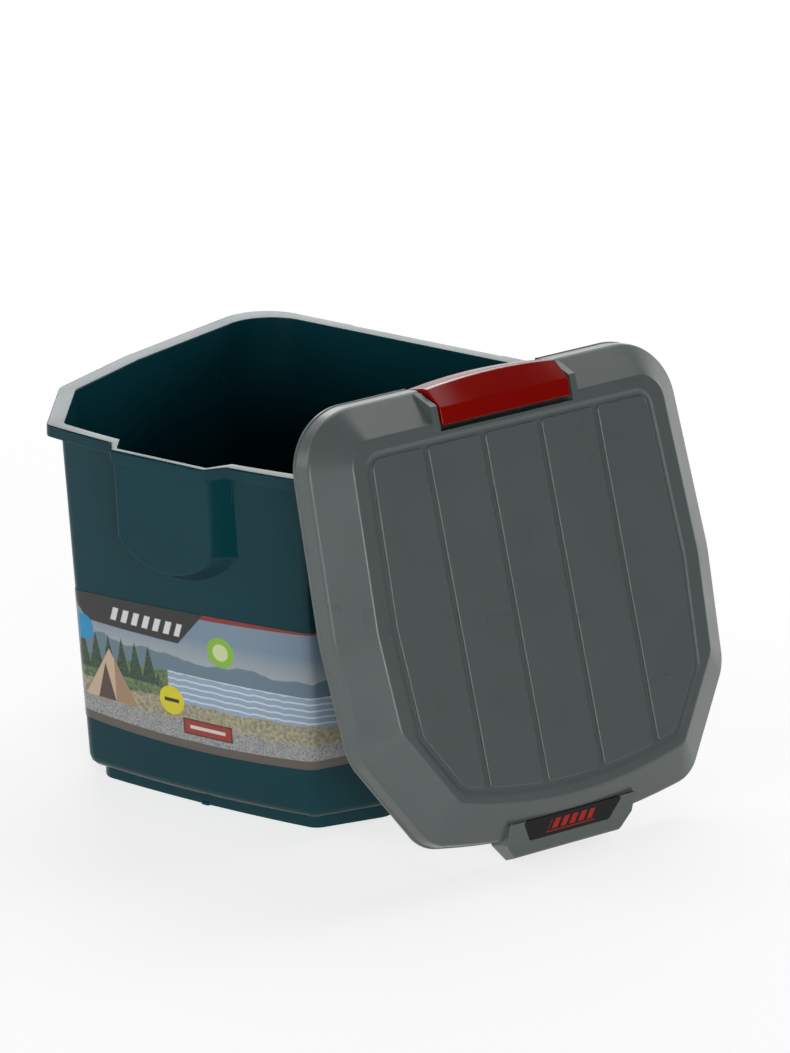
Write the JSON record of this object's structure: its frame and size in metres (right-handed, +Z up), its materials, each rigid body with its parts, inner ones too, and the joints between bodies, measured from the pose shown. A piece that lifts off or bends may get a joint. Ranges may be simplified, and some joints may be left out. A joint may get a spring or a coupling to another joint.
{
  "type": "lidded storage bucket",
  "caption": "Tapered storage bucket with a pour spout and a swinging bail. Its strong ribbed lid with a rear latch is off and leans on the rim.",
  "frame": {"origin": "centre of the bucket's base ring on the floor", "axes": "+Z up, -Y towards the pour spout, +X towards the side where the lid leans"},
  "size_m": [0.4377, 0.3325, 0.3058],
  "materials": {
    "bucket_plastic": "gloss",
    "lid_plastic": "satin",
    "latch_plastic": "gloss",
    "plate_plastic": "satin",
    "bail_plastic": "satin",
    "printed_film": "gloss"
  },
  "bodies": {
    "bucket": {"bucket_body": "bucket_plastic", "label_band": "printed_film"},
    "lid": {"lid": "lid_plastic", "badge_plate": "plate_plastic"},
    "latch": {"lid_latch": "latch_plastic"},
    "bail": {"bail_handle": "bail_plastic"}
  },
  "joints": [
    {"name": "lid_lift", "type": "slide", "parent": "bucket", "child": "lid", "axis": [0, 0, 1], "range_m": [0, 0.3]},
    {"name": "latch_hinge", "type": "hinge", "parent": "lid", "child": "latch", "pos_m": [0.17593, -0.02951, 0.29369], "axis": [0.3363, 0.9417, 0.0083], "range_deg": [0, 65]},
    {"name": "bail_hinge", "type": "hinge", "parent": "bucket", "child": "bail", "pos_m": [0, 0.003, 0.231], "axis": [1, 0, 0], "range_deg": [0, 120]}
  ]
}
